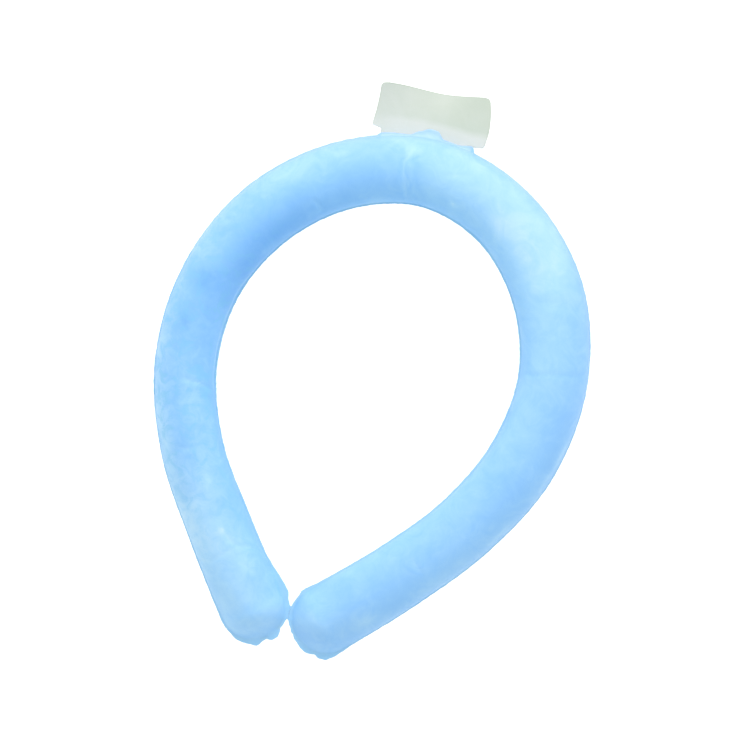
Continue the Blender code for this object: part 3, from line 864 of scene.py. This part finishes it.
TAB_SIDE_PAINTED_LIGHT_AND_SHADE = 0.29  # painted light on its left side and painted shade on its right, for the light across its curl
TAB_WELD_TONE = 0.58  # how much paler it is along its weld
TAB_WELD_REACH = 0.40  # how far out that goes, as a share of its length
TAB_WELD_SLOPE = 4.5
TAB_EDGE_TONES = (-0.55, -0.20)  # of its free edge's cut face, and of its side edges'
TAB_FREE_EDGE = 0.978  # where the free edge's cut face starts, as a share of its length
TAB_SIDE_EDGE = 0.975  # and the side edges', as a share of its half-width
GRAIN_DEPTH = 0.0002


class Graph:
    """A material's nodes, with a short way to add each kind. A value is a number or a socket."""

    def __init__(self, name):
        self.material = bpy.data.materials.new(name)
        self.material.use_nodes = True
        self.nodes = self.material.node_tree.nodes
        self.links = self.material.node_tree.links
        self.shader = self.nodes["Principled BSDF"]

    @cached_property
    def place(self):
        """The object's own coordinates, in metres."""
        return self.nodes.new("ShaderNodeTexCoord").outputs["Object"]

    def settle(self, values):
        """Sets the shader's sockets: numbers and colours on the socket itself, sockets by a link."""
        for name, value in values.items():
            if isinstance(value, bpy.types.NodeSocket):
                self.links.new(value, self.shader.inputs[name])
            else:
                self.shader.inputs[name].default_value = value

    def attribute(self, name):
        """A value that the mesh holds at each point."""
        node = self.nodes.new("ShaderNodeAttribute")
        node.attribute_name = name
        return node.outputs["Fac"]

    def noise(self, scale, detail=3.0, distortion=0.0, roughness=0.5):
        """Noise from 0 to 1, with about scale waves in a metre."""
        node = self.nodes.new("ShaderNodeTexNoise")
        node.inputs["Scale"].default_value = scale
        node.inputs["Detail"].default_value = detail
        node.inputs["Distortion"].default_value = distortion
        node.inputs["Roughness"].default_value = roughness
        self.links.new(self.place, node.inputs["Vector"])
        return node.outputs["Fac"]

    def math(self, operation, *values):
        """What a maths node makes of the values."""
        node = self.nodes.new("ShaderNodeMath")
        node.operation = operation
        for socket, value in zip(node.inputs, values):
            if isinstance(value, bpy.types.NodeSocket):
                self.links.new(value, socket)
            else:
                socket.default_value = value
        return node.outputs[0]

    def times(self, value, factor, plus=0.0):
        """The value times a factor, plus another value."""
        return self.math("MULTIPLY_ADD", value, factor, plus)

    def less(self, value, amount):
        """The value less an amount."""
        return self.math("SUBTRACT", value, amount)

    def held(self, value, least, most):
        """The value, held between two others."""
        return self.math("MINIMUM", self.math("MAXIMUM", value, least), most)

    def moved(self, value, by, amount):
        """The value, moved up and down by a noise."""
        return self.times(self.less(by, 0.5), amount, value)

    def ramp(self, tone, stops):
        """A colour read from a tone: stops are (tone, colour)."""
        node = self.nodes.new("ShaderNodeValToRGB")
        elements = node.color_ramp.elements
        while len(elements) < len(stops):
            elements.new(0.5)
        for element, (place, color) in zip(elements, stops):
            element.position = place
            element.color = (*color, 1.0)
        self.links.new(tone, node.inputs["Fac"])
        return node.outputs["Color"]

    def mixed(self, blend, first, second, share):
        """A plain colour blended into the first by a share, where a share below 0 is none."""
        node = self.nodes.new("ShaderNodeMix")
        node.data_type = "RGBA"
        node.blend_type = blend
        self.links.new(share, node.inputs["Factor"])
        self.links.new(first, node.inputs["A"])
        node.inputs["B"].default_value = (*second, 1.0)
        return node.outputs["Result"]

    def grain(self, height, strength):
        """The normal of a finely grained surface."""
        node = self.nodes.new("ShaderNodeBump")
        node.inputs["Strength"].default_value = strength
        node.inputs["Distance"].default_value = GRAIN_DEPTH
        self.links.new(height, node.inputs["Height"])
        return node.outputs["Normal"]


def film_material():
    """Frosted film over a cloudy blue gel, which is marbled on the ring's left side. Its colour also holds
    painted light and shade: in the broad drifts, on the back's two sides and just above a narrow weld.
    """
    film = Graph("frosted_blue_film")
    from_marbled = film.times(film.less(film.attribute("along"), MARBLED_AT), 1 / MARBLED_SPAN)
    marbled = film.math("EXPONENT", film.times(film.times(from_marbled, from_marbled), -1.0))
    # The drifts' tone holds painted light and shade as well as the gel's milkiness
    tone = film.times(film.attribute("cloud_and_painted_light"), CLOUD_SHARE, FILM_TONE)
    tone = film.moved(tone, film.noise(42, distortion=0.5), 0.42)
    tone = film.moved(tone, film.noise(105, detail=5.0, distortion=2.0, roughness=0.62), 0.36)
    feathers = film.noise(200, detail=4.0, distortion=0.8, roughness=0.62)
    tone = film.moved(tone, feathers, film.times(marbled, MARBLE, FEATHER))
    color = film.ramp(tone, FILM_RAMP)
    color = film.mixed("MULTIPLY", color, LAVENDER, film.times(film.noise(30, detail=2.0), LAVENDER_SHARE))
    teal = film.held(film.times(film.less(0.50, feathers), TEAL_SLOPE), 0.0, TEAL_MOST)
    color = film.mixed("MIX", color, TEAL_BLUE, film.times(teal, marbled))
    # Painted light and shade: lilac on the back's lit outer side, clearer blue on its shaded inner side
    outer = film.attribute("outer")
    color = film.mixed("MULTIPLY", color, LIT_SIDE_LILAC, outer)
    color = film.mixed("MULTIPLY", color, SHADED_SIDE_CLEAR, film.times(outer, -1.0))
    color = film.mixed("MIX", color, WELD_BLUE, film.times(film.attribute("weld"), WELD_SHARE))
    # Painted shade on the tube's edge just above a narrow weld
    color = film.mixed("MULTIPLY", color, PAINTED_RIM_SHADE, film.attribute("painted_rim_shade"))
    film.settle({
        "Base Color": color,
        "Roughness": film.times(film.noise(120), 0.16, 0.42),
        "Normal": film.grain(film.noise(1800, detail=2.0), 0.12),
        "IOR": 1.46,
        "Specular IOR Level": 0.30,
    })
    return film.material


def gel_material():
    """The cloudy gel, which the frosted skins hide."""
    gel = Graph("cloudy_blue_gel")
    gel.settle({
        "Base Color": gel.ramp(gel.noise(60, detail=4.0, distortion=0.8), GEL_RAMP),
        "Roughness": 0.3,
        "Subsurface Weight": 0.5,
        "Subsurface Scale": 0.006,
    })
    return gel.material


def tab_material():
    """Frosted whitish film, paler along its weld, deeper at its cut edges, with painted light on its left
    and painted shade on its right.
    """
    film = Graph("frosted_tab_film")
    cloudy = film.noise(110, distortion=0.6)
    reach, across = film.attribute("reach"), film.attribute("across")
    tone = film.moved(TAB_TONE, cloudy, 0.6)
    tone = film.moved(tone, film.noise(420, detail=4.0, distortion=1.0), 0.18)
    welded = film.times(film.less(TAB_WELD_REACH, reach), TAB_WELD_SLOPE)
    welded = film.held(welded, 0.0, TAB_WELD_TONE)
    unwelded = film.less(welded, TAB_WELD_TONE)
    # Painted light on the left, painted shade on the right, none along the weld
    tone = film.times(film.times(unwelded, across), TAB_SIDE_PAINTED_LIGHT_AND_SHADE / TAB_WELD_TONE, tone)
    tone = film.math("ADD", tone, welded)
    at_free_edge = film.math("GREATER_THAN", reach, TAB_FREE_EDGE)
    at_side_edge = film.math("GREATER_THAN", film.math("ABSOLUTE", across), TAB_SIDE_EDGE)
    for at_edge, edge_tone in zip((at_free_edge, at_side_edge), TAB_EDGE_TONES):
        tone = film.times(at_edge, edge_tone, tone)
    film.settle({
        "Base Color": film.ramp(tone, TAB_RAMP),
        "Roughness": film.times(cloudy, 0.2, 0.40),
        "Normal": film.grain(film.noise(1500, detail=2.0), 0.15),
        "Specular IOR Level": 0.35,
    })
    return film.material


def floor_material():
    """A white floor: its own light makes it as white as the photo's background."""
    floor = Graph("pale_floor")
    floor.settle({
        "Base Color": (*FLOOR_GREY, 1),
        "Roughness": 0.9,
        "Specular IOR Level": 0.1,
        "Emission Color": (1, 1, 1, 1),
        "Emission Strength": FLOOR_GLOW,
    })
    return floor.material


# The stage

RING_TURN = radians(16)  # how far the ring is turned in the photo, clockwise
VIEW_WIDTH = 0.27375  # what the photo's width takes in, at the weld plane
LENS, SENSOR = 100.0, 36.0
PHOTO_PX = 750  # the photo's width and height
MEET_PX = (288.5, 614.6)  # where the two ends meet in the photo
METRES_PER_PX = VIEW_WIDTH / PHOTO_PX
FLOOR_SIZE = 3.0  # half the floor's side
WORLD_COLOR = (0.98, 1.01, 1.0, 1.0)
WORLD_STRENGTH = 0.80
TOP_LIGHT_COLOR = (1.03, 0.97, 1.0)


def photo_place(dx, dy, shift):
    """The place on the weld plane that shows dx pixels right of and dy below the ends' meeting point."""
    c, s = cos(RING_TURN), sin(RING_TURN)
    right, back = (dx * c + dy * s) * METRES_PER_PX, (dx * s - dy * c) * METRES_PER_PX
    return Vector((right + shift[0], back + shift[1], WELD))


def add_camera(shift):
    """The photo's camera, straight above the ring. Returns the place that it looks at."""
    data = bpy.data.cameras.new("photo_camera")
    data.lens, data.sensor_width = LENS, SENSOR
    data.clip_start = 0.01
    camera = bpy.data.objects.new("photo_camera", data)
    bpy.context.scene.collection.objects.link(camera)
    aim = photo_place(PHOTO_PX / 2 - MEET_PX[0], PHOTO_PX / 2 - MEET_PX[1], shift)
    above = aim + Vector((0, 0, VIEW_WIDTH * LENS / SENSOR))
    camera.matrix_world = Matrix.Translation(above) @ Matrix.Rotation(RING_TURN, 4, "Z")
    bpy.context.scene.camera = camera
    return aim


def add_area(name, aim, direction, distance, size, power, color):
    """A square area light that shines on a place from a direction."""
    data = bpy.data.lights.new(name, "AREA")
    data.energy, data.size, data.color = power, size, color
    lamp = bpy.data.objects.new(name, data)
    bpy.context.scene.collection.objects.link(lamp)
    towards = Vector(direction).normalized()
    facing = towards.to_track_quat("Z", "Y").to_matrix().to_4x4()
    lamp.matrix_world = Matrix.Translation(aim + towards * distance) @ facing


def photo_direction(right, up, towards):
    """A direction given as the photo shows it: to its right, to its top and towards the viewer."""
    c, s = cos(RING_TURN), sin(RING_TURN)
    return (right * c - up * s, right * s + up * c, towards)


def add_stage(shift):
    """The camera, the floor and the light."""
    aim = add_camera(shift)
    mesh = bmesh.new()
    bmesh.ops.create_grid(mesh, x_segments=1, y_segments=1, size=FLOOR_SIZE)
    floor = mesh_object("pale_floor", mesh)
    floor.data.materials.append(floor_material())
    direction = photo_direction(right=0.15, up=1.0, towards=0.75)
    add_area("top_light", aim, direction, distance=0.9, size=0.9, power=5.4, color=TOP_LIGHT_COLOR)
    world = bpy.data.worlds.new("soft_studio")
    world.use_nodes = True
    background = world.node_tree.nodes["Background"]
    background.inputs["Color"].default_value = WORLD_COLOR
    background.inputs["Strength"].default_value = WORLD_STRENGTH
    bpy.context.scene.world = world
    bpy.context.scene.view_settings.view_transform = "Standard"


# The pieces

def dress(obj, material, slot, *nodes):
    """Gives a piece its material, hangs it on the root body and hides the nodes that it replaces; slot is
    not used.
    """
    obj.data.materials.append(material)
    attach(obj, "root")
    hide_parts(*nodes)


def ring_shift(section):
    """From the plan's own origin to the frame's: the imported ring's box has its middle at 0."""
    edge = section.foot + (section.width + section.lip)[:, None] * section.out
    low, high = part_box("upper_film")
    middle = (edge.min(axis=0) + edge.max(axis=0)) / 2
    return (np.array(low[:2]) + np.array(high[:2])) / 2 - middle


def main():
    spine = settled_spine()
    tab = TabFrame(spine)
    section = ring_sections(spine, tab, SPINE_STEPS, CAP_STEPS)
    shift = ring_shift(ring_sections(spine, tab, SPINE_STEPS, CAP_STEPS, ragged=0.0))
    film = film_material()
    upper = skin("upper_skin", spine, section, True)
    lower = skin("lower_skin", spine, section, False)
    gel = gel_body("gel_fill", spine, ring_sections(spine, tab, GEL_SPINE_STEPS, GEL_CAP_STEPS, ragged=0.0))
    sheet = tab_object("tab_sheet", tab)
    for obj in (upper, lower, gel, sheet):
        obj.data.transform(Matrix.Translation((shift[0], shift[1], 0)))
    dress(upper, film, "ring_film", "upper_film")
    dress(lower, film, "ring_film", "lower_film")
    dress(gel, gel_material(), "gel", "cooling_gel")
    dress(sheet, tab_material(), "tab_film", "back_tab")
    add_stage(shift)


main()
